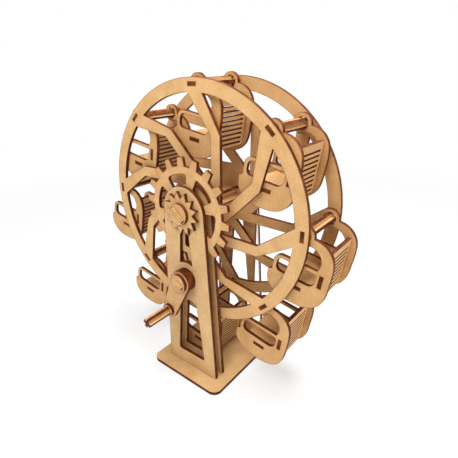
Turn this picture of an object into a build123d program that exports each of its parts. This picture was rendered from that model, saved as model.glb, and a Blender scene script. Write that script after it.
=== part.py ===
from build123d import *
from math import cos, hypot, radians, sin, sqrt, tan
import os

# A hand-cranked wooden ferris wheel, cut from sheet and pushed together without glue.
# Millimetres. X is to the right and Z is up, seen from the crank's side. The front is -Y.
# The origin is on the table, under the wheel's hub, midway between the two wheel discs.

os.makedirs("parts", exist_ok=True)

# ---------------------------------------------------------------- sheet and fits
sheet = 3.0              # thickness of every piece
running_gap = 0.3        # between flat faces that turn past each other
bore_gap = 0.3           # round hole around a turning cross of strips
crossing_gap = 0.05      # between two strips that are pushed into each other
proud = 2.0              # how far a strip's end stands out of its cap

# ---------------------------------------------------------------- wheel
rod_circle_radius = 100.0
rim_outside = 5.0        # rim beyond the circle of the rods
rim_inside = 6.0         # rim within that circle
car_floor_gap = 1.1      # from the lowest car to the base
cars = 8
wheel_gap = 52.0         # between the two wheel discs
wheel_turn = 1.25        # clockwise from a car straight above the hub, as it stands here
hub_radius = 25.0
spoke_foot_near = 17.8   # the inner stretch of a spoke, from the line through its rod
spoke_foot_far = 27.2
spoke_bend = 31.0        # from the rim's inside in to where a spoke bends
spoke_head_near = -5.0
spoke_head_far = 9.8

# ---------------------------------------------------------------- rods that carry the cars
rod_width = 8.5

# ---------------------------------------------------------------- wheel axle
axle_width = 15.5
axle_turn = -38.7        # direction of the strip that shows in the front cap
washer_radius = 9.3
star_points = 13
star_tip_radius = 19.0
star_notch_radius = 13.0
star_turn = 18.5         # clockwise from straight up to the first point
rear_disc_radius = 14.0

# ---------------------------------------------------------------- gears
crank_drop = 62.0        # from the wheel axle down to the crank axle
drive_teeth = 18
drive_tip_radius = 45.7
drive_root_radius = 38.4
drive_tooth_root = 8.6   # width of a tooth at the root and at the tip
drive_tooth_tip = 5.6
drive_turn = 16.0        # clockwise from straight up to the first tooth
drive_windows = 6
window_outer_radius = 32.0
window_inner_radius = 20.0
window_span = 40.0       # degrees taken by one window
window_turn = -15.0      # clockwise from straight up to the first window's middle
window_corner_radius = 2.0
pinion_teeth = 9
pinion_tip_radius = 23.2
pinion_root_radius = 15.8
pinion_tooth_root = 5.0
pinion_tooth_tip = 2.2
pinion_turn = 28.0
tooth_corner_radius = 0.7

# ---------------------------------------------------------------- crank
crank_axle_width = 13.0
crank_boss_radius = 10.5
crank_cap_radius = 8.5
crank_length = 37.0
crank_turn = 25.0        # clockwise from straight down to the handle
crank_arm_end_radius = 8.0
handle_washer_radius = 5.8
handle_reach = 28.0      # handle rod in front of the arm

# ---------------------------------------------------------------- towers
tower_head_radius = 22.4
tower_spread = 0.0445    # half-width gained for each millimetre below the hub
tower_window_top = 18.5  # below the hub
tower_window_neck = 4.7  # half-width of the upper window at its top
tower_window_hip = 8.3   # and above the crank axle
crank_collar_radius = 15.7
low_window_top = 84.5    # below the hub
low_window_corner = 87.5
low_window_bottom = 145.2
low_window_neck = 9.8
low_window_foot = 16.0
tower_corner_radius = 1.5
tab_width = 12.0
tab_spacing = 34.0       # between the middles of a tower's two tabs

# ---------------------------------------------------------------- base
base_width = 82.0
base_front = 59.4        # from the wheel's middle plane
base_rear = 50.0
base_corner_radius = 8.0

# ---------------------------------------------------------------- cars
car_width = 45.0         # across the outer faces of a car's side plates
car_side_gap = 0.5       # from a wheel disc to a car that has slid all the way to it
car_slides = (0.0, -1.0, -1.0, -1.0, -1.0, -0.8, -1.0, -1.0)     # -1 is a car slid to the front disc
rod_hole_gap = 0.5       # from the ring of a car to the corners of its rod
ring_radius = 8.0
hook_centre = (5.5, -18.5)       # middle of the hook's outer arc, from the rod
hook_radius = 17.5
hook_hollow_centre = (3.5, -17.5)
hook_hollow_radius = 10.5
car_tilt = 10.0          # the seat falls towards the backrest by this much
bowl_bottom = -58.9      # lowest point of a car's bowl, from the rod
bowl_outline = (         # the bowl's edge from the hook down, round and up to the leg
    (20.4, -36.0),
    (14.6, -52.0),
    (5.6, -57.8),
    (-6.5, -58.4),
    (-21.6, -54.0),
    (-29.4, -43.8),
    (-29.0, -36.2),
    (-27.0, -34.0),
)
arm_height = -22.9       # top edge of the armrest, straight below the rod
arm_thickness = 3.0
leg_foot = (-25.4, -33.4)        # where the thin leg of the armrest meets the bowl
leg_top_x = -22.6
leg_corner_radius = 6.5
opening_left = -19.9     # the opening under the armrest
opening_right = 11.4
opening_foot_right = (8.8, -40.0)
opening_foot_left = (-22.6, -33.6)
opening_round_radius = 6.0
opening_end_radius = 4.2
opening_corner_radius = 1.8
seat_slot = (-5.9, -43.5)        # middle of the seat's tab, from the rod
seat_front_reach = 15.8  # from the seat's tab to its front edge
back_slot = (14.2, -33.0)        # middle of the backrest's tab, from the rod
back_above = 22.3        # from the backrest's tab up to its top edge
back_below = 19.3
tab_length = 10.5
panel_corner_radius = 3.5
slat_slots = 9
slat_slot_width = 1.3
slat_pitch = 3.9
slat_top_margin = 7.0
slat_side_margin = 4.5

# ---------------------------------------------------------------- places that follow
wheel_radius = rod_circle_radius + rim_outside
rim_inner_radius = rod_circle_radius - rim_inside
spoke_knee = rim_inner_radius - spoke_bend
wheel_back_face = wheel_gap / 2 + sheet      # outer face of either wheel disc
base_top = sheet
hub_height = base_top + car_floor_gap - bowl_bottom + rod_circle_radius
crank_height = hub_height - crank_drop
rod_corner = hypot(rod_width, sheet) / 2     # radius of the circle round a cross of strips
axle_corner = hypot(axle_width, sheet) / 2
crank_axle_corner = hypot(crank_axle_width, sheet) / 2
tower_foot = hub_height - base_top           # from the hub down to the base
tower_foot_half = tower_head_radius + tower_spread * tower_foot

# Back faces of the sheets in front of the wheel, from the wheel forwards.
front_washer_back = -wheel_back_face
inner_tower_back = front_washer_back - sheet - running_gap
spacer_back = inner_tower_back - sheet - running_gap
gear_back = spacer_back - sheet
outer_tower_back = gear_back - sheet - running_gap
star_back = outer_tower_back - sheet - running_gap
front_cap_back = star_back - sheet
crank_boss_back = star_back
crank_arm_back = crank_boss_back - 2 * sheet
crank_cap_back = crank_arm_back - sheet

# Back faces of the sheets behind the wheel, from the wheel backwards.
rear_washer_back = wheel_back_face + sheet
rear_tower_back = rear_washer_back + running_gap + sheet
rear_disc_back = rear_tower_back + running_gap + sheet
rear_cap_back = rear_disc_back + sheet

car_plate_back = car_width / 2              # outer face of a car's rear side plate
car_slide_limit = wheel_gap / 2 - car_side_gap - car_plate_back
panel_half = car_plate_back - sheet          # half the width between a car's side plates


def front_plane(back_y, x=0.0, z=hub_height, turn=0.0):
    """Plane seen from the front: sheets grow from it towards the front, and turn is clockwise."""
    across = (cos(radians(turn)), 0, -sin(radians(turn)))
    return Plane(origin=(x, back_y, z), x_dir=across, z_dir=(0, -1, 0))


def save(piece, name):
    """Label a finished piece and write it to its own file."""
    piece.label = name
    export_step(piece, f"parts/{name}.step")


def cross_slots(width, turn=0.0):
    """Cut, in the open sketch, the cross-shaped slot that a cross of strips fills."""
    Rectangle(width, sheet, rotation=turn, mode=Mode.SUBTRACT)
    Rectangle(width, sheet, rotation=turn + 90, mode=Mode.SUBTRACT)


def strip(ends, slot, width, x, z, turn):
    """Add, in the open part, one strip along Y, its width turned anticlockwise from X.

    ends and slot are pairs of Y values: the strip itself, and the slot along its middle
    that the strip it crosses fills.
    """
    facing = Plane(origin=(x, 0, z), x_dir=(0, 1, 0), z_dir=(sin(radians(turn)), 0, -cos(radians(turn))))
    with BuildSketch(facing) as face:
        with Locations((sum(ends) / 2, 0)):
            Rectangle(max(ends) - min(ends), width)
        with Locations((sum(slot) / 2, 0)):
            Rectangle(max(slot) - min(slot), sheet + 2 * crossing_gap, mode=Mode.SUBTRACT)
    extrude(face.sketch, amount=sheet / 2, both=True)


def toothed_disc(teeth, root_radius, tip_radius, root_width, tip_width, turn):
    """Add, in the open sketch, a round disc with straight-sided teeth."""
    tip_height = sqrt(tip_radius**2 - (tip_width / 2) ** 2)
    foot_height = sqrt(root_radius**2 - (root_width / 2) ** 2) - sheet
    Circle(root_radius)
    with PolarLocations(0, teeth, start_angle=90 - turn):
        Polygon(
            (foot_height, -root_width / 2),
            (tip_height, -tip_width / 2),
            (tip_height, tip_width / 2),
            (foot_height, root_width / 2),
            align=None,
        )


def corners_at(outline, radius):
    """Corners of a sketch that lie on the circle of this radius."""
    return [corner for corner in outline.vertices() if abs(hypot(corner.X, corner.Y) - radius) < 0.01]


# ================================================================ base
tower_backs = (outer_tower_back, inner_tower_back, rear_tower_back)

with BuildPart() as base_plate:
    with BuildSketch(Plane.XY):
        with Locations((0, (base_rear - base_front) / 2)):
            RectangleRounded(base_width, base_front + base_rear, base_corner_radius)
        for tower_back in tower_backs:
            with Locations((0, tower_back - sheet / 2)):
                with GridLocations(tab_spacing, 0, 2, 1):
                    Rectangle(tab_width, sheet, mode=Mode.SUBTRACT)
    extrude(amount=sheet)
save(base_plate.part, "base_plate")


# ================================================================ towers
def tower_outline():
    """Draw, in the open sketch, a tower: a round head, sides that spread, two tabs."""
    with BuildLine() as edge:
        head = ThreePointArc((tower_head_radius, 0), (0, tower_head_radius), (-tower_head_radius, 0))
        Line(head @ 1, (-tower_foot_half, -tower_foot))
        Line((-tower_foot_half, -tower_foot), (tower_foot_half, -tower_foot))
        Line((tower_foot_half, -tower_foot), head @ 0)
    make_face(edge.edges())
    with Locations((0, -tower_foot - sheet / 2)):
        with GridLocations(tab_spacing, 0, 2, 1):
            Rectangle(tab_width, sheet)


def tower_windows():
    """Cut, in the open sketch, the crank axle's hole and the windows above and below it."""
    with BuildSketch(mode=Mode.PRIVATE) as upper:
        Polygon(
            (-tower_window_neck, -tower_window_top),
            (tower_window_neck, -tower_window_top),
            (tower_window_hip, -crank_drop),
            (-tower_window_hip, -crank_drop),
            align=None,
        )
        fillet(upper.vertices().group_by(Axis.Y)[-1], tower_corner_radius)
        with Locations((0, -crank_drop)):
            Circle(crank_collar_radius, mode=Mode.SUBTRACT)
    with BuildSketch(mode=Mode.PRIVATE) as lower:
        with BuildLine():
            arch = ThreePointArc(
                (-low_window_neck, -low_window_corner),
                (0, -low_window_top),
                (low_window_neck, -low_window_corner),
            )
            Line(arch @ 1, (low_window_foot, -low_window_bottom))
            Line((low_window_foot, -low_window_bottom), (-low_window_foot, -low_window_bottom))
            Line((-low_window_foot, -low_window_bottom), arch @ 0)
        make_face()
        fillet(lower.vertices(), tower_corner_radius)
    add(upper.sketch, mode=Mode.SUBTRACT)
    add(lower.sketch, mode=Mode.SUBTRACT)
    with Locations((0, -crank_drop)):
        Circle(crank_axle_corner + bore_gap, mode=Mode.SUBTRACT)


def long_window():
    """Cut, in the open sketch, the rear tower's one window: no crank axle reaches that far."""
    with BuildSketch(mode=Mode.PRIVATE) as window:
        Polygon(
            (-tower_window_neck, -tower_window_top),
            (tower_window_neck, -tower_window_top),
            (low_window_foot, -low_window_bottom),
            (-low_window_foot, -low_window_bottom),
            align=None,
        )
        fillet(window.vertices(), tower_corner_radius)
    add(window.sketch, mode=Mode.SUBTRACT)


for tower_name, tower_back, cut_windows in (
    ("front_tower_outer", outer_tower_back, tower_windows),
    ("front_tower_inner", inner_tower_back, tower_windows),
    ("rear_tower", rear_tower_back, long_window),
):
    with BuildPart() as tower:
        with BuildSketch(front_plane(tower_back)):
            tower_outline()
            cut_windows()
            Circle(axle_corner + bore_gap, mode=Mode.SUBTRACT)
        extrude(amount=sheet)
    save(tower.part, tower_name)

# ================================================================ wheel discs
for wheel_name, wheel_back in (("front_wheel", -wheel_gap / 2), ("rear_wheel", wheel_back_face)):
    with BuildPart() as wheel:
        with BuildSketch(front_plane(wheel_back, turn=wheel_turn)) as disc:
            Circle(wheel_radius)
            Circle(rim_inner_radius, mode=Mode.SUBTRACT)
            Circle(hub_radius)
            with PolarLocations(0, cars):
                Polygon(
                    (spoke_head_near, rim_inner_radius),
                    (spoke_foot_near, spoke_knee),
                    (spoke_foot_near, 0),
                    (spoke_foot_far, 0),
                    (spoke_foot_far, spoke_knee),
                    (spoke_head_far, rim_inner_radius),
                    (0, rod_circle_radius),
                    align=None,
                )
            with PolarLocations(rod_circle_radius, cars, start_angle=90):
                Rectangle(sheet, rod_width, mode=Mode.SUBTRACT)
            cross_slots(axle_width, axle_turn + wheel_turn)
        extrude(amount=sheet)
    save(wheel.part, wheel_name)

# ================================================================ wheel axle and what turns on it
axle_front = front_cap_back - sheet - proud
axle_rear = rear_cap_back + proud

with BuildPart() as wheel_axle:
    strip(
        (axle_front, rear_disc_back),
        (-crossing_gap, rear_disc_back),
        axle_width,
        0,
        hub_height,
        axle_turn,
    )
    strip(
        (front_cap_back, axle_rear),
        (front_cap_back, crossing_gap),
        axle_width,
        0,
        hub_height,
        axle_turn + 90,
    )
save(wheel_axle.part, "wheel_axle")


def axle_disc(name, radius, back_y):
    """Make a round disc with a cross-shaped slot, on the wheel axle."""
    with BuildPart() as piece:
        with BuildSketch(front_plane(back_y)):
            Circle(radius)
            cross_slots(axle_width, axle_turn)
        extrude(amount=sheet)
    save(piece.part, name)


def axle_cap(name, back_y, turn):
    """Make the round cap at one end of the wheel axle, which one strip passes through."""
    with BuildPart() as piece:
        with BuildSketch(front_plane(back_y)):
            Circle(washer_radius)
            Rectangle(axle_width, sheet, rotation=turn, mode=Mode.SUBTRACT)
        extrude(amount=sheet)
    save(piece.part, name)


axle_disc("front_wheel_washer", washer_radius, front_washer_back)
axle_disc("gear_spacer", washer_radius, spacer_back)
axle_disc("rear_wheel_washer", washer_radius, rear_washer_back)
axle_disc("rear_axle_disc", rear_disc_radius, rear_disc_back)
axle_cap("front_axle_cap", front_cap_back, axle_turn)
axle_cap("rear_axle_cap", rear_cap_back, axle_turn + 90)

with BuildPart() as drive_gear:
    with BuildSketch(front_plane(gear_back)) as gear_face:
        toothed_disc(
            drive_teeth,
            drive_root_radius,
            drive_tip_radius,
            drive_tooth_root,
            drive_tooth_tip,
            drive_turn,
        )
        fillet(corners_at(gear_face, drive_tip_radius), tooth_corner_radius)
        with BuildSketch(mode=Mode.PRIVATE) as window:
            Circle(window_outer_radius)
            Circle(window_inner_radius, mode=Mode.SUBTRACT)
            half_span = radians(window_span / 2)
            reach = 2 * window_outer_radius
            Polygon(
                (0, 0),
                (reach * cos(half_span), -reach * sin(half_span)),
                (reach * cos(half_span), reach * sin(half_span)),
                align=None,
                mode=Mode.INTERSECT,
            )
            fillet(window.vertices(), window_corner_radius)
        with PolarLocations(0, drive_windows, start_angle=90 - window_turn):
            add(window.sketch, mode=Mode.SUBTRACT)
        cross_slots(axle_width, axle_turn)
    extrude(amount=sheet)
save(drive_gear.part, "drive_gear")

with BuildPart() as star_disc:
    with BuildSketch(front_plane(star_back)):
        corners = []
        for point in range(star_points):
            tip_angle = radians(90 - star_turn + 360 * point / star_points)
            notch_angle = tip_angle + radians(180 / star_points)
            corners.append((star_tip_radius * cos(tip_angle), star_tip_radius * sin(tip_angle)))
            corners.append((star_notch_radius * cos(notch_angle), star_notch_radius * sin(notch_angle)))
        Polygon(*corners, align=None)
        cross_slots(axle_width, axle_turn)
    extrude(amount=sheet)
save(star_disc.part, "star_disc")

# ================================================================ crank
crank_strip_turn = -crank_turn
crank_axle_front = crank_cap_back - sheet - proud
crank_axle_rear = inner_tower_back
crank_axle_middle = (crank_axle_rear + crank_arm_back) / 2

with BuildPart() as crank_axle:
    strip(
        (crank_axle_front, crank_axle_rear),
        (crank_axle_middle - crossing_gap, crank_axle_rear),
        crank_axle_width,
        0,
        crank_height,
        crank_strip_turn,
    )
    strip(
        (crank_cap_back, crank_axle_rear),
        (crank_cap_back, crank_axle_middle + crossing_gap),
        crank_axle_width,
        0,
        crank_height,
        crank_strip_turn + 90,
    )
save(crank_axle.part, "crank_axle")

with BuildPart() as pinion:
    with BuildSketch(front_plane(gear_back, z=crank_height)) as pinion_face:
        toothed_disc(
            pinion_teeth,
            pinion_root_radius,
            pinion_tip_radius,
            pinion_tooth_root,
            pinion_tooth_tip,
            pinion_turn,
        )
        fillet(corners_at(pinion_face, pinion_tip_radius), tooth_corner_radius)
        cross_slots(crank_axle_width, crank_strip_turn)
    extrude(amount=sheet)
save(pinion.part, "pinion")


def crank_disc(name, radius, back_y):
    """Make a round disc with a cross-shaped slot, on the crank axle."""
    with BuildPart() as piece:
        with BuildSketch(front_plane(back_y, z=crank_height)):
            Circle(radius)
            cross_slots(crank_axle_width, crank_strip_turn)
        extrude(amount=sheet)
    save(piece.part, name)


crank_disc("pinion_spacer", crank_boss_radius, spacer_back)
crank_disc("crank_boss_inner", crank_boss_radius, crank_boss_back)
crank_disc("crank_boss_outer", crank_boss_radius, crank_boss_back - sheet)

handle_x = -crank_length * sin(radians(crank_turn))
handle_drop = -crank_length * cos(radians(crank_turn))
handle_height = crank_height + handle_drop

with BuildPart() as crank_arm:
    with BuildSketch(front_plane(crank_arm_back, z=crank_height)):
        with BuildSketch(mode=Mode.PRIVATE) as ends:
            Circle(crank_boss_radius)
            with Locations((handle_x, handle_drop)):
                Circle(crank_arm_end_radius)
        make_hull(ends.sketch.edges())
        cross_slots(crank_axle_width, crank_strip_turn)
        with Locations((handle_x, handle_drop)):
            Rectangle(rod_width, sheet, rotation=crank_strip_turn, mode=Mode.SUBTRACT)
    extrude(amount=sheet)
save(crank_arm.part, "crank_arm")

with BuildPart() as crank_cap:
    with BuildSketch(front_plane(crank_cap_back, z=crank_height)):
        Circle(crank_cap_radius)
        Rectangle(crank_axle_width, sheet, rotation=crank_strip_turn, mode=Mode.SUBTRACT)
    extrude(amount=sheet)
save(crank_cap.part, "crank_cap")

handle_foot = crank_arm_back - sheet         # front face of the arm
handle_front = handle_foot - handle_reach
handle_middle = (handle_foot + handle_front) / 2

with BuildPart() as handle_washer:
    with BuildSketch(front_plane(handle_foot, handle_x, handle_height)):
        Circle(handle_washer_radius)
        cross_slots(rod_width, crank_strip_turn)
    extrude(amount=sheet)
save(handle_washer.part, "handle_washer")

with BuildPart() as handle_rod:
    strip(
        (handle_front, crank_arm_back),
        (handle_front, handle_middle + crossing_gap),
        rod_width,
        handle_x,
        handle_height,
        crank_strip_turn,
    )
    strip(
        (handle_front, handle_foot),
        (handle_middle - crossing_gap, handle_foot),
        rod_width,
        handle_x,
        handle_height,
        crank_strip_turn + 90,
    )
save(handle_rod.part, "handle_rod")


# ================================================================ rods
def car_place(number):
    """Clockwise angle from straight up, X and Z of the rod with this number."""
    angle = wheel_turn + 360 * (number - 1) / cars
    across = rod_circle_radius * sin(radians(angle))
    up = hub_height + rod_circle_radius * cos(radians(angle))
    return angle, across, up


for number in range(1, cars + 1):
    rod_angle, rod_x, rod_z = car_place(number)
    with BuildPart() as rod:
        strip(
            (-wheel_back_face, wheel_back_face),
            (-crossing_gap, wheel_back_face),
            rod_width,
            rod_x,
            rod_z,
            -rod_angle,
        )
        strip(
            (-wheel_gap / 2, wheel_gap / 2),
            (-wheel_gap / 2, crossing_gap),
            rod_width,
            rod_x,
            rod_z,
            90 - rod_angle,
        )
    save(rod.part, f"rod_{number}")

# ================================================================ cars
lean = radians(car_tilt)
seat_to_back = (
    (back_slot[0] - seat_slot[0]) * cos(lean) - (back_slot[1] - seat_slot[1]) * sin(lean) - sheet / 2
)


def arm_top(x):
    """Height of the armrest's top edge at this distance right of the rod."""
    return arm_height - x * tan(lean)


def car_outline():
    """Draw, in the open sketch, the bowl of a car's side, with the rod at (0, 0)."""
    with BuildLine() as edge:
        belly = Spline(
            (hook_centre[0] + hook_radius, hook_centre[1]),
            *bowl_outline,
            tangents=((0, -1), (1, 0.1)),
        )
        Polyline(
            belly @ 1,
            leg_foot,
            (leg_top_x, arm_top(leg_top_x)),
            (hook_centre[0], arm_top(hook_centre[0])),
            hook_centre,
            belly @ 0,
        )
    make_face(edge.edges())


def car_openings():
    """Cut, in the open sketch, the opening under the hook and the one under the armrest."""
    with Locations(hook_hollow_centre):
        Circle(hook_hollow_radius, mode=Mode.SUBTRACT)
    outside = 2 * leg_top_x
    Polygon(
        (outside, 0),
        (0, 0),
        (hook_hollow_centre[0], hook_hollow_centre[1] + hook_hollow_radius),
        (hook_hollow_centre[0], arm_top(hook_hollow_centre[0])),
        (outside, arm_top(outside)),
        align=None,
        mode=Mode.SUBTRACT,
    )
    Polygon(
        (-hook_hollow_radius, arm_top(-hook_hollow_radius)),
        (hook_radius, arm_top(hook_radius)),
        (hook_radius, arm_top(hook_radius) - 2 * sheet),
        (-hook_hollow_radius, arm_top(-hook_hollow_radius) - 4 * sheet),
        align=None,
    )
    with BuildSketch(mode=Mode.PRIVATE) as under_arm:
        Polygon(
            (opening_left, arm_top(opening_left) - arm_thickness),
            (opening_right, arm_top(opening_right) - arm_thickness),
            opening_foot_right,
            opening_foot_left,
            align=None,
        )
        fillet(under_arm.vertices().sort_by(Axis.Y)[0], opening_round_radius)
        fillet(under_arm.vertices().sort_by(Axis.X)[:2], opening_end_radius)
        fillet(under_arm.vertices().sort_by(Axis.X)[-1], opening_corner_radius)
    add(under_arm.sketch, mode=Mode.SUBTRACT)


with BuildSketch() as car_side:
    with Locations(hook_centre):
        Circle(hook_radius)
    car_outline()
    fillet(car_side.vertices().sort_by_distance((leg_top_x, arm_top(leg_top_x)))[0], leg_corner_radius)
    car_openings()
    Circle(ring_radius)
    Circle(rod_corner + rod_hole_gap, mode=Mode.SUBTRACT)
    with Locations(seat_slot):
        Rectangle(tab_length, sheet, rotation=-car_tilt, mode=Mode.SUBTRACT)
    with Locations(back_slot):
        Rectangle(sheet, tab_length, rotation=-car_tilt, mode=Mode.SUBTRACT)

for number in range(1, cars + 1):
    rod_angle, rod_x, rod_z = car_place(number)
    slide = car_slides[(number - 1) % len(car_slides)] * car_slide_limit

    with BuildPart() as sides:
        with BuildSketch(
            front_plane(slide + car_plate_back, rod_x, rod_z),
            front_plane(slide + sheet - car_plate_back, rod_x, rod_z),
        ):
            add(car_side.sketch)
        extrude(amount=sheet)
    save(sides.part, f"gondola_{number}_sides")

    seat_place = (rod_x + seat_slot[0], slide, rod_z + seat_slot[1])
    with BuildPart() as seat:
        with BuildSketch(
            Plane(origin=seat_place, x_dir=(cos(lean), 0, -sin(lean)), z_dir=(sin(lean), 0, cos(lean)))
        ):
            with Locations(((seat_to_back - seat_front_reach) / 2, 0)):
                Rectangle(seat_to_back + seat_front_reach, 2 * panel_half)
            Rectangle(tab_length, 2 * car_plate_back)
        extrude(amount=sheet / 2, both=True)
    save(seat.part, f"gondola_{number}_seat")

    back_place = (rod_x + back_slot[0], slide, rod_z + back_slot[1])
    with BuildPart() as back:
        with BuildSketch(
            Plane(origin=back_place, x_dir=(sin(lean), 0, cos(lean)), z_dir=(-cos(lean), 0, sin(lean)))
        ):
            with Locations(((back_above - back_below) / 2, 0)):
                RectangleRounded(back_above + back_below, 2 * panel_half, panel_corner_radius)
            Rectangle(tab_length, 2 * car_plate_back)
            for slot in range(slat_slots):
                with Locations((back_above - slat_top_margin - slot * slat_pitch, 0)):
                    Rectangle(slat_slot_width, 2 * (panel_half - slat_side_margin), mode=Mode.SUBTRACT)
        extrude(amount=sheet / 2, both=True)
    save(back.part, f"gondola_{number}_back")
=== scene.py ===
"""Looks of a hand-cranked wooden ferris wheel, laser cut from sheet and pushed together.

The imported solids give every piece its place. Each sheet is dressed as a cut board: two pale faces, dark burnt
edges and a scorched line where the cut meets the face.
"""

import logging
import math
from dataclasses import dataclass, field
from enum import Enum
import bmesh
import bpy
from mathutils import Matrix, Vector
from mathutils.bvhtree import BVHTree
from mathutils.geometry import delaunay_2d_cdt


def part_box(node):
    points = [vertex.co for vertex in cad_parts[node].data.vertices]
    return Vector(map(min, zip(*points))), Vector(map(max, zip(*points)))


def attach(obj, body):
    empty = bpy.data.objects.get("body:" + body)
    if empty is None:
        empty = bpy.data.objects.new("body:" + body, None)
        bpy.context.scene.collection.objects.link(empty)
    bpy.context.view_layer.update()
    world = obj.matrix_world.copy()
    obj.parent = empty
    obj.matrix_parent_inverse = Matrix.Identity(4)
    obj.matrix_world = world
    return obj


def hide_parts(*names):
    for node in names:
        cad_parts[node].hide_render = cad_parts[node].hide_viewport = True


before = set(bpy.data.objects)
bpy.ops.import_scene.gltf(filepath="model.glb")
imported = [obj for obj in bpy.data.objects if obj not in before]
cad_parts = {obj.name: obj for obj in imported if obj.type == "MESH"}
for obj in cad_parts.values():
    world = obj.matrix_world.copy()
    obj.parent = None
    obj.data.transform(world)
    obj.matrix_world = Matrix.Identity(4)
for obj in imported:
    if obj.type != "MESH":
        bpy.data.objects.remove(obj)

LOG = logging.getLogger("ferris_wheel")
MM = 0.001
SCORCH = "scorch"


def linear(red: int, green: int, blue: int) -> tuple[float, float, float, float]:
    """Turn a screen colour of 0 to 255 into a linear colour with full alpha.

    Args:
        red, green, blue: screen values.

    Returns:
        The linear colour.
    """
    values = []
    for value in (red, green, blue):
        share = value / 255
        values.append(share / 12.92 if share <= 0.04045 else ((share + 0.055) / 1.055) ** 2.4)
    return (values[0], values[1], values[2], 1.0)


# ------------------------------------------------------------------ node helpers
class Tree:
    """A thin writer of node trees: adds nodes, sets their inputs and links them."""

    def __init__(self, tree: bpy.types.NodeTree) -> None:
        """Keep the tree that is written to."""
        self.tree = tree

    def add(self, kind: str, **settings: object) -> bpy.types.Node:
        """Add a node and set its own properties.

        Args:
            kind: the node's type name.
            settings: properties of the node, by name.

        Returns:
            The new node.
        """
        node = self.tree.nodes.new(kind)
        for name, value in settings.items():
            setattr(node, name, value)
        return node

    def feed(self, node: bpy.types.Node, socket: int | str, source: object) -> None:
        """Link a socket into an input, or set the input's value.

        Args:
            node: the node that takes the value.
            socket: the input's number or name.
            source: an output socket, or a plain value.
        """
        target = node.inputs[socket]
        if isinstance(source, bpy.types.NodeSocket):
            self.tree.links.new(source, target)
        else:
            target.default_value = source

    def sum_of(self, operation: str, first: object, second: object = 0.0) -> bpy.types.NodeSocket:
        """Add a Math node and return its result."""
        node = self.add("ShaderNodeMath", operation=operation)
        self.feed(node, 0, first)
        self.feed(node, 1, second)
        return node.outputs[0]

    def blend(self, share: object, first: object, second: object, mode: str = "MIX") -> bpy.types.NodeSocket:
        """Mix two colours by a share and return the colour."""
        node = self.add("ShaderNodeMix", data_type="RGBA", blend_type=mode)
        self.feed(node, 0, share)
        self.feed(node, 6, first)
        self.feed(node, 7, second)
        return node.outputs[2]

    def ramp(self, value: object, low: float, high: float) -> bpy.types.NodeSocket:
        """Stretch a value from low to high onto 0 to 1, held at both ends."""
        node = self.add("ShaderNodeMapRange", clamp=True)
        self.feed(node, 0, value)
        self.feed(node, 1, low)
        self.feed(node, 2, high)
        return node.outputs[0]

    def noise(self, place: object, scale: float, detail: float) -> bpy.types.NodeSocket:
        """Add a Noise Texture on a place and return its value."""
        node = self.add("ShaderNodeTexNoise")
        self.feed(node, "Vector", place)
        self.feed(node, "Scale", scale)
        self.feed(node, "Detail", detail)
        return node.outputs[0]


def shader_group(name: str, inputs: dict[str, float], outputs: dict[str, str]) -> tuple[bpy.types.NodeTree, Tree]:
    """Start a shader node group with named number inputs and named outputs.

    Args:
        name: the group's name.
        inputs: default value of each number input.
        outputs: socket type of each output.

    Returns:
        The group and a writer for it.
    """
    group = bpy.data.node_groups.new(name, "ShaderNodeTree")
    for label, value in inputs.items():
        socket = group.interface.new_socket(label, in_out="INPUT", socket_type="NodeSocketFloat")
        socket.default_value = value
    for label, kind in outputs.items():
        group.interface.new_socket(label, in_out="OUTPUT", socket_type=kind)
    return group, Tree(group)


def fibre_group() -> bpy.types.NodeTree:
    """Build the speckle of pressed fibre: fine flecks, soft clouds and a height.

    Returns:
        The shader group, with outputs Flecks, Clouds and Height.
    """
    group, write = shader_group(
        "pressed_fibre",
        {"Fleck Size": 0.5 * MM, "Cloud Size": 14 * MM},
        {"Flecks": "NodeSocketFloat", "Clouds": "NodeSocketFloat", "Height": "NodeSocketFloat"},
    )
    start = write.add("NodeGroupInput")
    end = write.add("NodeGroupOutput")
    place = write.add("ShaderNodeTexCoord").outputs["Object"]
    fleck_scale = write.sum_of("DIVIDE", 1.0, start.outputs["Fleck Size"])
    cloud_scale = write.sum_of("DIVIDE", 1.0, start.outputs["Cloud Size"])
    fine = write.noise(place, 1.0, 2.0)
    write.feed(fine.node, "Scale", fleck_scale)
    long = write.add("ShaderNodeVectorMath", operation="MULTIPLY")
    write.feed(long, 0, place)
    write.feed(long, 1, (0.35, 1.0, 1.0))
    stretched = write.noise(long.outputs[0], 1.0, 1.0)
    write.feed(stretched.node, "Scale", fleck_scale)
    cloud = write.noise(place, 1.0, 3.0)
    write.feed(cloud.node, "Scale", cloud_scale)
    flecks = write.sum_of("MULTIPLY", write.ramp(fine, 0.40, 0.62), write.ramp(stretched, 0.34, 0.60))
    write.feed(end, "Flecks", flecks)
    write.feed(end, "Clouds", write.ramp(cloud, 0.30, 0.70))
    write.feed(end, "Height", write.sum_of("ADD", fine, stretched))
    return group


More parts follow.
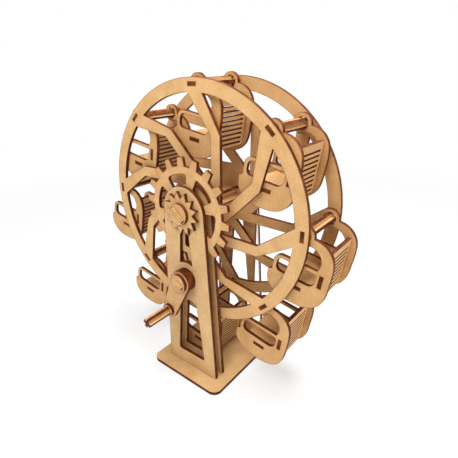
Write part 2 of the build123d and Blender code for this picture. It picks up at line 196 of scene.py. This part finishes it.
def burn_group() -> bpy.types.NodeTree:
    """Build the scorched line beside a laser cut, from the sheet's own scorch attribute.

    Returns:
        The shader group, with outputs Line, close to the cut, and Haze, further in.
    """
    group, write = shader_group(
        "laser_burn",
        {"Unevenness": 0.5},
        {"Line": "NodeSocketFloat", "Haze": "NodeSocketFloat"},
    )
    start = write.add("NodeGroupInput")
    end = write.add("NodeGroupOutput")
    place = write.add("ShaderNodeTexCoord").outputs["Object"]
    amount = write.add("ShaderNodeAttribute", attribute_name=SCORCH).outputs["Fac"]
    drift = write.noise(place, 260.0, 2.0)
    swing = write.sum_of("MULTIPLY", write.sum_of("SUBTRACT", drift, 0.5), start.outputs["Unevenness"])
    uneven = write.sum_of("ADD", amount, write.sum_of("MULTIPLY", swing, amount))
    write.feed(end, "Line", write.ramp(uneven, 0.45, 1.0))
    write.feed(end, "Haze", write.ramp(uneven, 0.0, 0.9))
    return group


def char_group() -> bpy.types.NodeTree:
    """Build the burnt wall of a cut: fine streaks across the sheet and lighter patches.

    Returns:
        The shader group, with outputs Streaks, Patches and Height.
    """
    group, write = shader_group(
        "cut_wall",
        {"Streak Size": 0.35 * MM, "Patch Size": 9 * MM},
        {"Streaks": "NodeSocketFloat", "Patches": "NodeSocketFloat", "Height": "NodeSocketFloat"},
    )
    start = write.add("NodeGroupInput")
    end = write.add("NodeGroupOutput")
    place = write.add("ShaderNodeTexCoord").outputs["Object"]
    along = write.add("ShaderNodeVectorMath", operation="MULTIPLY")
    write.feed(along, 0, place)
    write.feed(along, 1, (1.0, 0.18, 1.0))
    streaks = write.noise(along.outputs[0], 1.0, 3.0)
    write.feed(streaks.node, "Scale", write.sum_of("DIVIDE", 1.0, start.outputs["Streak Size"]))
    patches = write.noise(place, 1.0, 2.0)
    write.feed(patches.node, "Scale", write.sum_of("DIVIDE", 1.0, start.outputs["Patch Size"]))
    write.feed(end, "Streaks", write.ramp(streaks, 0.35, 0.68))
    write.feed(end, "Patches", write.ramp(patches, 0.42, 0.70))
    write.feed(end, "Height", streaks)
    return group


# ------------------------------------------------------------------ finishes
@dataclass(frozen=True)
class BoardFace:
    """The sanded face of fibre board, scorched beside its cuts."""

    name: str
    pale: tuple[float, float, float, float]
    deep: tuple[float, float, float, float]
    fleck: tuple[float, float, float, float]
    haze: tuple[float, float, float, float] = linear(176, 112, 58)
    line: tuple[float, float, float, float] = linear(104, 52, 24)
    fleck_size: float = 0.5 * MM
    roughness: float = 0.62

    def material(self, fibre: bpy.types.NodeTree, burn: bpy.types.NodeTree) -> bpy.types.Material:
        """Make the material.

        Args:
            fibre: the pressed fibre group.
            burn: the laser burn group.

        Returns:
            The face material.
        """
        material = bpy.data.materials.new(self.name)
        material.use_nodes = True
        material.node_tree.nodes.clear()
        write = Tree(material.node_tree)
        speckle = write.add("ShaderNodeGroup", node_tree=fibre)
        speckle.inputs["Fleck Size"].default_value = self.fleck_size
        scorch = write.add("ShaderNodeGroup", node_tree=burn)
        board = write.blend(speckle.outputs["Clouds"], self.pale, self.deep)
        share = write.sum_of("MULTIPLY", speckle.outputs["Flecks"], 0.8)
        board = write.blend(share, board, self.fleck)
        haze_share = write.sum_of("MULTIPLY", scorch.outputs["Haze"], 0.55)
        board = write.blend(haze_share, board, self.haze)
        board = write.blend(scorch.outputs["Line"], board, self.line)
        rough = write.sum_of("SUBTRACT", self.roughness, write.sum_of("MULTIPLY", speckle.outputs["Clouds"], 0.10))
        shader = write.add("ShaderNodeBsdfPrincipled")
        write.feed(shader, "Base Color", board)
        write.feed(shader, "Roughness", rough)
        shader.inputs["IOR"].default_value = 1.45
        shader.inputs["Specular IOR Level"].default_value = 0.25
        bump = write.add("ShaderNodeBump")
        bump.inputs["Strength"].default_value = 0.25
        bump.inputs["Distance"].default_value = 0.05 * MM
        write.feed(bump, "Height", speckle.outputs["Height"])
        write.feed(shader, "Normal", bump.outputs[0])
        out = write.add("ShaderNodeOutputMaterial")
        write.feed(out, 0, shader.outputs[0])
        return material


@dataclass(frozen=True)
class BurntEdge:
    """The dark wall that the laser leaves through the thickness of the sheet."""

    name: str = "burnt_edge"
    dark: tuple[float, float, float, float] = linear(84, 36, 14)
    warm: tuple[float, float, float, float] = linear(132, 66, 26)
    soot: tuple[float, float, float, float] = linear(44, 19, 8)

    def material(self, char: bpy.types.NodeTree) -> bpy.types.Material:
        """Make the material.

        Args:
            char: the cut wall group.

        Returns:
            The edge material.
        """
        material = bpy.data.materials.new(self.name)
        material.use_nodes = True
        material.node_tree.nodes.clear()
        write = Tree(material.node_tree)
        wall = write.add("ShaderNodeGroup", node_tree=char)
        colour = write.blend(wall.outputs["Patches"], self.dark, self.warm)
        colour = write.blend(write.sum_of("MULTIPLY", wall.outputs["Streaks"], 0.55), colour, self.soot)
        shader = write.add("ShaderNodeBsdfPrincipled")
        write.feed(shader, "Base Color", colour)
        write.feed(shader, "Roughness", write.sum_of("ADD", 0.55, write.sum_of("MULTIPLY", wall.outputs["Streaks"], 0.2)))
        shader.inputs["Specular IOR Level"].default_value = 0.12
        bump = write.add("ShaderNodeBump")
        bump.inputs["Strength"].default_value = 0.4
        bump.inputs["Distance"].default_value = 0.08 * MM
        write.feed(bump, "Height", wall.outputs["Height"])
        write.feed(shader, "Normal", bump.outputs[0])
        out = write.add("ShaderNodeOutputMaterial")
        write.feed(out, 0, shader.outputs[0])
        return material


class Board(Enum):
    STAND = BoardFace("stand_board", linear(222, 186, 136), linear(206, 166, 114), linear(176, 130, 80))
    WHEEL = BoardFace("wheel_board", linear(226, 186, 132), linear(208, 164, 108), linear(172, 122, 72))
    CRANK = BoardFace("crank_board", linear(222, 182, 130), linear(204, 160, 106), linear(168, 120, 70))
    CAR = BoardFace("car_board", linear(218, 174, 120), linear(198, 152, 98), linear(164, 116, 66))


class Paints:
    """The finished materials, made once and shared by every piece."""

    def __init__(self) -> None:
        """Build the groups and the materials."""
        fibre = fibre_group()
        burn = burn_group()
        self.faces = {board: board.value.material(fibre, burn) for board in Board}
        self.edge = BurntEdge().material(char_group())


# ------------------------------------------------------------------ sheet work
@dataclass
class CutSheet:
    """Turns flat cut solids into finished boards with two faces, burnt walls and scorched rims."""

    paints: Paints
    rings: tuple[tuple[float, float], ...] = ((0.45 * MM, 0.45), (0.95 * MM, 0.0))
    merge_distance: float = 0.002 * MM
    smooth_angle: float = 30.0
    sanded_ends: tuple[str, ...] = ("wheel_axle", "crank_axle")
    pieces: list[str] = field(default_factory=list)

    def of_node(self, node: str, board: Board, body: str) -> bpy.types.Object:
        """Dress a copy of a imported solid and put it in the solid's place.

        Args:
            node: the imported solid's name.
            board: which board it is cut from.
            body: the body that it moves with.

        Returns:
            The finished piece.
        """
        return self.finish(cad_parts[node].data.copy(), f"{node}_board", node, board, body)

    def finish(
        self,
        mesh: bpy.types.Mesh,
        name: str,
        node: str,
        board: Board,
        body: str,
        axis: Vector | None = None,
    ) -> bpy.types.Object:
        """Make a finished piece of a plain mesh.

        Args:
            mesh: the plain mesh, in place.
            name: the piece's name.
            node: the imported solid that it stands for.
            board: which board it is cut from.
            body: the body that it moves with.
            axis: the direction through the sheet, where the mesh doesn't tell it.

        Returns:
            The finished piece.
        """
        mesh.name = name
        mesh.materials.clear()
        mesh.materials.append(self.paints.faces[board])
        mesh.materials.append(self.paints.edge)
        work = bmesh.new()
        work.from_mesh(mesh)
        bmesh.ops.remove_doubles(work, verts=work.verts, dist=self.merge_distance)
        bmesh.ops.triangulate(work, faces=work.faces)
        layer = work.verts.layers.float.new(SCORCH)
        for vertex in work.verts:
            vertex[layer] = 1.0
        for solid in self.solids(work):
            self.mark(work, solid, layer, axis or self.sheet_axis(solid), node in self.sanded_ends)
        for face in work.faces:
            face.smooth = True
        work.to_mesh(mesh)
        work.free()
        mesh.set_sharp_from_angle(angle=math.radians(self.smooth_angle))
        piece = bpy.data.objects.new(name, mesh)
        bpy.context.scene.collection.objects.link(piece)
        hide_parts(node)
        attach(piece, body)
        self.pieces.append(name)
        return piece

    @staticmethod
    def solids(work: bmesh.types.BMesh) -> list[list[bmesh.types.BMFace]]:
        """List the faces of each separate solid of a mesh."""
        left = set(work.faces)
        groups = []
        while left:
            queue = [left.pop()]
            group = []
            while queue:
                face = queue.pop()
                group.append(face)
                for edge in face.edges:
                    if len(edge.link_faces) == 2:
                        near = [other for other in edge.link_faces if other in left]
                        left.difference_update(near)
                        queue.extend(near)
            groups.append(group)
        return groups

    @staticmethod
    def sheet_axis(faces: list[bmesh.types.BMFace]) -> Vector:
        """Find the direction through a sheet: the normal that most of its area has."""
        areas: dict[tuple[float, float, float], float] = {}
        for face in faces:
            key = tuple(round(value, 2) for value in face.normal)
            areas[key] = areas.get(key, 0.0) + face.calc_area()
        best = max(areas, key=lambda key: areas[key])
        return max(faces, key=lambda face: face.normal.dot(Vector(best)) * face.calc_area()).normal.copy()

    def mark(
        self,
        work: bmesh.types.BMesh,
        solid: list[bmesh.types.BMFace],
        layer: object,
        axis: Vector,
        sanded: bool,
    ) -> None:
        """Give a sheet its two faces, its burnt walls and the scorched rims beside them.

        Args:
            work: the mesh being made.
            solid: the faces of one sheet.
            layer: the vertex layer that holds the scorch.
            axis: the direction through the sheet.
            sanded: whether the ends that face front and back are sanded pale as well.
        """
        ways = [axis, -axis]
        if sanded:
            ways += [Vector((0, -1, 0)), Vector((0, 1, 0))]
        for face in solid:
            face.material_index = 1
        for way in ways:
            cap = [face for face in solid if face.is_valid and face.normal.dot(way) > 0.99]
            top = max(face.calc_center_median().dot(way) for face in cap)
            cap = [face for face in cap if face.calc_center_median().dot(way) > top - 0.1 * MM]
            for face in cap:
                face.material_index = 0
            self.scorch(work, cap, way, layer)

    def scorch(
        self, work: bmesh.types.BMesh, cap: list[bmesh.types.BMFace], normal: Vector, layer: object
    ) -> None:
        """Draw one face of a sheet anew, with rims that fade from the cut inwards.

        Args:
            work: the mesh being made.
            cap: the face's triangles.
            normal: the direction that it looks in.
            layer: the vertex layer that holds the scorch.
        """
        across = normal.orthogonal().normalized()
        along = normal.cross(across)
        start = cap[0].verts[0].co.copy()
        inside = set(cap)

        def flat(point: Vector) -> Vector:
            """Give a point its place on the face."""
            return Vector(((point - start).dot(across), (point - start).dot(along), 0.0))

        rim = [edge for edge in {e for f in cap for e in f.edges} if sum(f in inside for f in edge.link_faces) == 1]
        verts = list({vertex for edge in rim for vertex in edge.verts})
        order = {vertex: number for number, vertex in enumerate(verts)}
        places = [flat(vertex.co) for vertex in verts]
        inward: dict[bmesh.types.BMVert, list[Vector]] = {vertex: [] for vertex in verts}
        walls: list[Vector] = []
        for edge in rim:
            face = next(f for f in edge.link_faces if f in inside)
            third = next(v for v in face.verts if v not in edge.verts)
            first, second = (places[order[v]] for v in edge.verts)
            run = (second - first).normalized()
            step = flat(third.co) - first
            step = (step - run * step.dot(run)).normalized()
            for vertex in edge.verts:
                inward[vertex].append(step)
            for point, height in ((first, -1.0), (second, -1.0), (second, 1.0), (first, 1.0)):
                walls.append(point + Vector((0, 0, height)))
        quads = [tuple(range(n, n + 4)) for n in range(0, len(walls), 4)]
        nearest = BVHTree.FromPolygons(walls, quads)
        corners = [flat(vertex.co) for face in cap for vertex in face.verts]
        board = BVHTree.FromPolygons(corners, [(n, n + 1, n + 2) for n in range(0, len(corners), 3)])
        points = [place.to_2d() for place in places]
        lines = [(order[edge.verts[0]], order[edge.verts[1]]) for edge in rim]
        for width, _ in self.rings:
            kept: dict[bmesh.types.BMVert, int] = {}
            for vertex in verts:
                steps = inward[vertex]
                if len(steps) != 2 or steps[0].dot(steps[1]) < -0.8:
                    continue
                place = places[order[vertex]] + (steps[0] + steps[1]) * (width / (1 + steps[0].dot(steps[1])))
                if nearest.find_nearest(place)[3] > 0.97 * width and board.find_nearest(place)[3] < 1e-7:
                    kept[vertex] = len(points)
                    points.append(place.to_2d())
            for edge in rim:
                first, second = edge.verts
                if first in kept and second in kept:
                    middle = ((points[kept[first]] + points[kept[second]]) / 2).to_3d()
                    if nearest.find_nearest(middle)[3] > 0.9 * width:
                        lines.append((kept[first], kept[second]))
        made = delaunay_2d_cdt(points, lines, [], 0, 1e-8)
        bmesh.ops.delete(work, geom=cap, context="FACES_KEEP_BOUNDARY")
        found: list[bmesh.types.BMVert] = []
        for place, sources in zip(made[0], made[3]):
            own = [number for number in sources if number < len(verts)]
            if own:
                found.append(verts[own[0]])
                continue
            vertex = work.verts.new(start + across * place.x + along * place.y)
            vertex[layer] = self.burn(nearest.find_nearest(place.to_3d())[3])
            found.append(vertex)
        for corner_numbers in made[2]:
            middle = sum((made[0][number] for number in corner_numbers), Vector((0, 0))) / 3
            if board.find_nearest(middle.to_3d())[3] > 1e-7:
                continue
            corners_found = [found[number] for number in corner_numbers]
            if len(set(corners_found)) < 3 or work.faces.get(corners_found):
                continue
            face = work.faces.new(corners_found)
            face.normal_update()
            if face.normal.dot(normal) < 0:
                face.normal_flip()

    def burn(self, distance: float) -> float:
        """Tell how scorched a face is at a distance from the cut."""
        near, level = 0.0, 1.0
        for width, next_level in self.rings:
            if distance < width:
                return level + (next_level - level) * (distance - near) / (width - near)
            near, level = width, next_level
        return 0.0


# ------------------------------------------------------------------ sub-assemblies
@dataclass
class Stand:
    """The base plate and the three tower plates."""

    nodes: tuple[str, ...] = ("base_plate", "front_tower_outer", "front_tower_inner", "rear_tower")

    def build(self, cut: CutSheet) -> None:
        """Dress every plate of the stand."""
        for node in self.nodes:
            cut.of_node(node, Board.STAND, "frame")


@dataclass
class Wheel:
    """The two spoked discs and the crossed rods that hold the cars."""

    rods: int = 8
    discs: tuple[str, ...] = ("front_wheel", "rear_wheel")

    def build(self, cut: CutSheet) -> None:
        """Dress the discs and the rods."""
        for node in self.discs:
            cut.of_node(node, Board.WHEEL, "wheel")
        for number in range(1, self.rods + 1):
            cut.of_node(f"rod_{number}", Board.CAR, "wheel")


@dataclass
class WheelAxle:
    """The crossed axle with its discs, its gear and the pointed disc in front."""

    plain: tuple[str, ...] = (
        "wheel_axle",
        "front_wheel_washer",
        "gear_spacer",
        "drive_gear",
        "front_axle_cap",
        "rear_wheel_washer",
        "rear_axle_disc",
        "rear_axle_cap",
        "star_disc",
    )

    def build(self, cut: CutSheet) -> None:
        """Dress every piece on the wheel's axle."""
        for node in self.plain:
            cut.of_node(node, Board.CRANK, "wheel")


@dataclass
class Crank:
    """The crank axle, its pinion, its bosses, the arm and the handle."""

    nodes: tuple[str, ...] = (
        "crank_axle",
        "pinion",
        "pinion_spacer",
        "crank_boss_inner",
        "crank_boss_outer",
        "crank_arm",
        "crank_cap",
        "handle_washer",
        "handle_rod",
    )

    def build(self, cut: CutSheet) -> None:
        """Dress every piece of the crank."""
        for node in self.nodes:
            cut.of_node(node, Board.CRANK, "crank")


@dataclass
class SlattedBack:
    """The backrest of a car: a panel with a row of thin slots, written as a geometry tree."""

    height: float = 41.6 * MM
    width: float = 39.0 * MM
    thickness: float = 3.0 * MM
    corner_radius: float = 3.5 * MM
    slots: int = 9
    slot_width: float = 1.3 * MM
    slot_length: float = 30.0 * MM
    slot_pitch: float = 3.9 * MM
    first_slot: float = 13.8 * MM
    tab_length: float = 10.5 * MM
    tab_reach: float = 3.0 * MM
    tab_place: float = -1.5 * MM
    lean: float = 10.0

    def tree(self) -> bpy.types.NodeTree:
        """Write the geometry tree of the panel, flat on X (its height) and Y (its width).

        Returns:
            The geometry node tree.
        """
        tree = bpy.data.node_groups.new("slatted_back", "GeometryNodeTree")
        face = tree.interface
        face.new_socket("Geometry", in_out="OUTPUT", socket_type="NodeSocketGeometry")
        for name in self.sizes():
            face.new_socket(name, in_out="INPUT", socket_type="NodeSocketFloat")
        face.new_socket("Slots", in_out="INPUT", socket_type="NodeSocketInt")
        write = Tree(tree)
        given = write.add("NodeGroupInput").outputs
        outline = write.add("GeometryNodeCurvePrimitiveQuadrilateral")
        write.feed(outline, "Width", given["Height"])
        write.feed(outline, "Height", given["Width"])
        rounded = write.add("GeometryNodeFilletCurve", mode="POLY")
        write.feed(rounded, "Curve", outline.outputs[0])
        write.feed(rounded, "Count", 6)
        write.feed(rounded, "Radius", given["Corner Radius"])
        slot = write.add("GeometryNodeCurvePrimitiveQuadrilateral")
        write.feed(slot, "Width", given["Slot Width"])
        write.feed(slot, "Height", given["Slot Length"])
        start = write.add("ShaderNodeCombineXYZ")
        write.feed(start, "X", given["First Slot"])
        step = write.add("ShaderNodeCombineXYZ")
        write.feed(step, "X", write.sum_of("MULTIPLY", given["Slot Pitch"], -1.0))
        row = write.add("GeometryNodeMeshLine", mode="OFFSET")
        write.feed(row, "Count", given["Slots"])
        write.feed(row, "Start Location", start.outputs[0])
        write.feed(row, "Offset", step.outputs[0])
        copies = write.add("GeometryNodeInstanceOnPoints")
        write.feed(copies, "Points", row.outputs[0])
        write.feed(copies, "Instance", slot.outputs[0])
        cuts = write.add("GeometryNodeRealizeInstances")
        write.feed(cuts, 0, copies.outputs[0])
        drawing = write.add("GeometryNodeJoinGeometry")
        write.feed(drawing, 0, rounded.outputs[0])
        write.feed(drawing, 0, cuts.outputs[0])
        filled = write.add("GeometryNodeFillCurve", mode="NGONS")
        write.feed(filled, "Curve", drawing.outputs[0])
        raised = write.add("GeometryNodeExtrudeMesh", mode="FACES")
        write.feed(raised, "Mesh", filled.outputs[0])
        write.feed(raised, "Offset Scale", given["Thickness"])
        write.feed(raised, "Individual", False)
        under = write.add("GeometryNodeFlipFaces")
        write.feed(under, 0, filled.outputs[0])
        closed = write.add("GeometryNodeJoinGeometry")
        write.feed(closed, 0, raised.outputs[0])
        write.feed(closed, 0, under.outputs[0])
        welded = write.add("GeometryNodeMergeByDistance")
        write.feed(welded, 0, closed.outputs[0])
        write.feed(welded, "Distance", 0.01 * MM)
        whole = write.add("GeometryNodeJoinGeometry")
        write.feed(whole, 0, welded.outputs[0])
        for side in (-1.0, 1.0):
            write.feed(whole, 0, self.tab(write, given, side))
        plain = write.add("GeometryNodeRealizeInstances")
        write.feed(plain, 0, whole.outputs[0])
        painted = write.add("GeometryNodeSetMaterial")
        write.feed(painted, 0, plain.outputs[0])
        out = write.add("NodeGroupOutput")
        write.feed(out, 0, painted.outputs[0])
        return tree

    @staticmethod
    def tab(write: Tree, given: object, side: float) -> bpy.types.NodeSocket:
        """Write one tab, which passes through a side plate.

        Args:
            write: the tree's writer.
            given: the tree's inputs.
            side: -1 or 1, the side of the panel that the tab stands on.

        Returns:
            The tab's geometry.
        """
        size = write.add("ShaderNodeCombineXYZ")
        write.feed(size, "X", given["Tab Length"])
        write.feed(size, "Y", given["Tab Reach"])
        write.feed(size, "Z", given["Thickness"])
        block = write.add("GeometryNodeMeshCube")
        write.feed(block, "Size", size.outputs[0])
        half = write.sum_of("MULTIPLY", write.sum_of("ADD", given["Width"], given["Tab Reach"]), side / 2)
        place = write.add("ShaderNodeCombineXYZ")
        write.feed(place, "X", given["Tab Place"])
        write.feed(place, "Y", half)
        write.feed(place, "Z", write.sum_of("MULTIPLY", given["Thickness"], 0.5))
        moved = write.add("GeometryNodeTransform")
        write.feed(moved, "Geometry", block.outputs[0])
        write.feed(moved, "Translation", place.outputs[0])
        return moved.outputs[0]

    def sizes(self) -> dict[str, float]:
        """Name each length that the tree takes."""
        return {
            "Height": self.height,
            "Width": self.width,
            "Thickness": self.thickness,
            "Corner Radius": self.corner_radius,
            "Slot Width": self.slot_width,
            "Slot Length": self.slot_length,
            "Slot Pitch": self.slot_pitch,
            "First Slot": self.first_slot,
            "Tab Length": self.tab_length,
            "Tab Reach": self.tab_reach,
            "Tab Place": self.tab_place,
        }

    def mesh(self, tree: bpy.types.NodeTree, node: str) -> tuple[bpy.types.Mesh, Vector]:
        """Make one panel as a plain mesh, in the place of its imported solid.

        Args:
            tree: the panel's geometry tree.
            node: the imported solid.

        Returns:
            The mesh, and the direction through the panel.
        """
        holder = bpy.data.objects.new(f"{node}_holder", bpy.data.meshes.new(f"{node}_start"))
        bpy.context.scene.collection.objects.link(holder)
        modifier = holder.modifiers.new("panel", "NODES")
        modifier.node_group = tree
        values: dict[str, float | int] = dict(self.sizes())
        values["Slots"] = self.slots
        for socket in tree.interface.items_tree:
            if socket.in_out == "INPUT":
                modifier[socket.identifier] = values[socket.name]
        bpy.context.view_layer.update()
        graph = bpy.context.evaluated_depsgraph_get()
        mesh = bpy.data.meshes.new_from_object(holder.evaluated_get(graph))
        bpy.data.objects.remove(holder)
        low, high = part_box(node)
        centre = (Vector(low) + Vector(high)) / 2
        turn = math.radians(self.lean)
        up = Vector((math.sin(turn), 0, math.cos(turn)))
        out = Vector((-math.cos(turn), 0, math.sin(turn)))
        place = Matrix((up, Vector((0, 1, 0)), out)).transposed().to_4x4()
        place.translation = centre - out * self.thickness / 2
        mesh.transform(place)
        return mesh, out


@dataclass
class Cars:
    """The eight cars: two side plates, a seat and a slatted backrest each."""

    count: int = 8
    back: SlattedBack = field(default_factory=SlattedBack)

    def build(self, cut: CutSheet) -> None:
        """Dress the plates and seats, and make the backrests."""
        tree = self.back.tree()
        for number in range(1, self.count + 1):
            body = f"gondola_{number}"
            cut.of_node(f"{body}_sides", Board.CAR, body)
            cut.of_node(f"{body}_seat", Board.CAR, body)
            mesh, through = self.back.mesh(tree, f"{body}_back")
            cut.finish(mesh, f"{body}_back_board", f"{body}_back", Board.CAR, body, through)


# ------------------------------------------------------------------ studio
@dataclass(frozen=True)
class Studio:
    """The pale floor, the soft lamps and the camera at the photograph's angle."""

    image_size: int = 458
    focal_pixels: float = 374.814
    centre_x: float = 209.207
    centre_y: float = 219.543
    camera_place: tuple[float, float, float] = (0.208125, -0.250748, 0.269058)
    azimuth: float = 41.0651
    elevation: float = 21.1591
    roll: float = -2.1626
    floor_size: float = 6.0

    def build(self) -> None:
        """Make the camera, the floor, the lamps and the world."""
        self.camera()
        self.floor()
        self.lamps()
        self.world()

    def camera(self) -> None:
        """Place the camera where the photograph was taken."""
        around, up_angle, roll = (math.radians(v) for v in (self.azimuth, self.elevation, self.roll))
        back = Vector(
            (
                math.sin(around) * math.cos(up_angle),
                -math.cos(around) * math.cos(up_angle),
                math.sin(up_angle),
            )
        )
        right = Vector((math.cos(around), math.sin(around), 0))
        up = back.cross(right)
        right_rolled = right * math.cos(roll) + up * math.sin(roll)
        up_rolled = up * math.cos(roll) - right * math.sin(roll)
        data = bpy.data.cameras.new("camera")
        data.sensor_width = 36.0
        data.lens = self.focal_pixels / self.image_size * data.sensor_width
        data.shift_x = (self.image_size / 2 - self.centre_x) / self.image_size
        data.shift_y = (self.centre_y - self.image_size / 2) / self.image_size
        data.clip_start = 0.01
        camera = bpy.data.objects.new("camera", data)
        matrix = Matrix((right_rolled, up_rolled, back)).transposed().to_4x4()
        matrix.translation = Vector(self.camera_place)
        camera.matrix_world = matrix
        bpy.context.scene.collection.objects.link(camera)
        bpy.context.scene.camera = camera

    def floor(self) -> None:
        """Lay a white floor that keeps the object's shadow."""
        mesh = bpy.data.meshes.new("floor")
        half = self.floor_size / 2
        corners = [(-half, -half, 0), (half, -half, 0), (half, half, 0), (-half, half, 0)]
        mesh.from_pydata(corners, [], [(0, 1, 2, 3)])
        floor = bpy.data.objects.new("floor", mesh)
        bpy.context.scene.collection.objects.link(floor)
        material = bpy.data.materials.new("floor_paper")
        material.use_nodes = True
        material.node_tree.nodes.clear()
        write = Tree(material.node_tree)
        paper = write.add("ShaderNodeBsdfPrincipled")
        paper.inputs["Base Color"].default_value = (0.86, 0.86, 0.86, 1)
        paper.inputs["Roughness"].default_value = 0.9
        glow = write.add("ShaderNodeEmission")
        glow.inputs["Color"].default_value = (1, 1, 1, 1)
        glow.inputs["Strength"].default_value = 1.0
        distance = write.add("ShaderNodeVectorMath", operation="LENGTH")
        write.feed(distance, 0, write.add("ShaderNodeTexCoord").outputs["Object"])
        fade = write.ramp(distance.outputs["Value"], 0.15, 0.9)
        whiteness = write.sum_of("ADD", 0.6, write.sum_of("MULTIPLY", fade, 0.4))
        seen = write.add("ShaderNodeLightPath").outputs["Is Camera Ray"]
        both = write.add("ShaderNodeMixShader")
        write.feed(both, 0, write.sum_of("MULTIPLY", seen, whiteness))
        write.feed(both, 1, paper.outputs[0])
        write.feed(both, 2, glow.outputs[0])
        out = write.add("ShaderNodeOutputMaterial")
        write.feed(out, 0, both.outputs[0])
        mesh.materials.append(material)

    @staticmethod
    def lamp(name: str, place: tuple[float, float, float], size: float, power: float) -> None:
        """Hang a soft square lamp that looks at the wheel's middle.

        Args:
            name: the lamp's name.
            place: where it hangs, in metres.
            size: its side, in metres.
            power: its power, in watts.
        """
        data = bpy.data.lights.new(name, "AREA")
        data.size = size
        data.energy = power
        lamp = bpy.data.objects.new(name, data)
        lamp.location = place
        lamp.rotation_euler = (Vector(place) - Vector((0, 0, 0.14))).to_track_quat("Z", "Y").to_euler()
        bpy.context.scene.collection.objects.link(lamp)

    def lamps(self) -> None:
        """Hang the key lamp, the fill and the lamp behind."""
        self.lamp("key_lamp", (0.06, -0.42, 0.68), 0.35, 3.4)
        self.lamp("top_lamp", (0.10, 0.10, 0.85), 0.40, 8.0)
        self.lamp("side_lamp", (0.90, 0.10, 0.50), 0.60, 3.0)

    @staticmethod
    def world() -> None:
        """Set a plain white world, softer on the object than in the view."""
        world = bpy.data.worlds.new("studio")
        bpy.context.scene.world = world
        world.use_nodes = True
        world.node_tree.nodes.clear()
        write = Tree(world.node_tree)
        rays = write.add("ShaderNodeLightPath")
        shown = write.sum_of("MAXIMUM", rays.outputs["Is Camera Ray"], rays.outputs["Is Glossy Ray"])
        light = write.add("ShaderNodeBackground")
        light.inputs["Color"].default_value = (1, 1, 1, 1)
        write.feed(light, "Strength", write.sum_of("ADD", 0.36, write.sum_of("MULTIPLY", shown, 0.64)))
        out = write.add("ShaderNodeOutputWorld")
        write.feed(out, 0, light.outputs[0])
        bpy.context.scene.view_settings.view_transform = "Standard"


def main() -> None:
    """Build the object piece by piece, then the studio."""
    logging.basicConfig(level=logging.INFO, format="%(name)s: %(message)s")
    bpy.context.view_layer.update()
    cut = CutSheet(Paints())
    for part in (Stand(), Wheel(), WheelAxle(), Crank(), Cars()):
        before = len(cut.pieces)
        part.build(cut)
        LOG.info("%s: %s", type(part).__name__, ", ".join(cut.pieces[before:]))
    Studio().build()


if __name__ == "__main__":
    main()
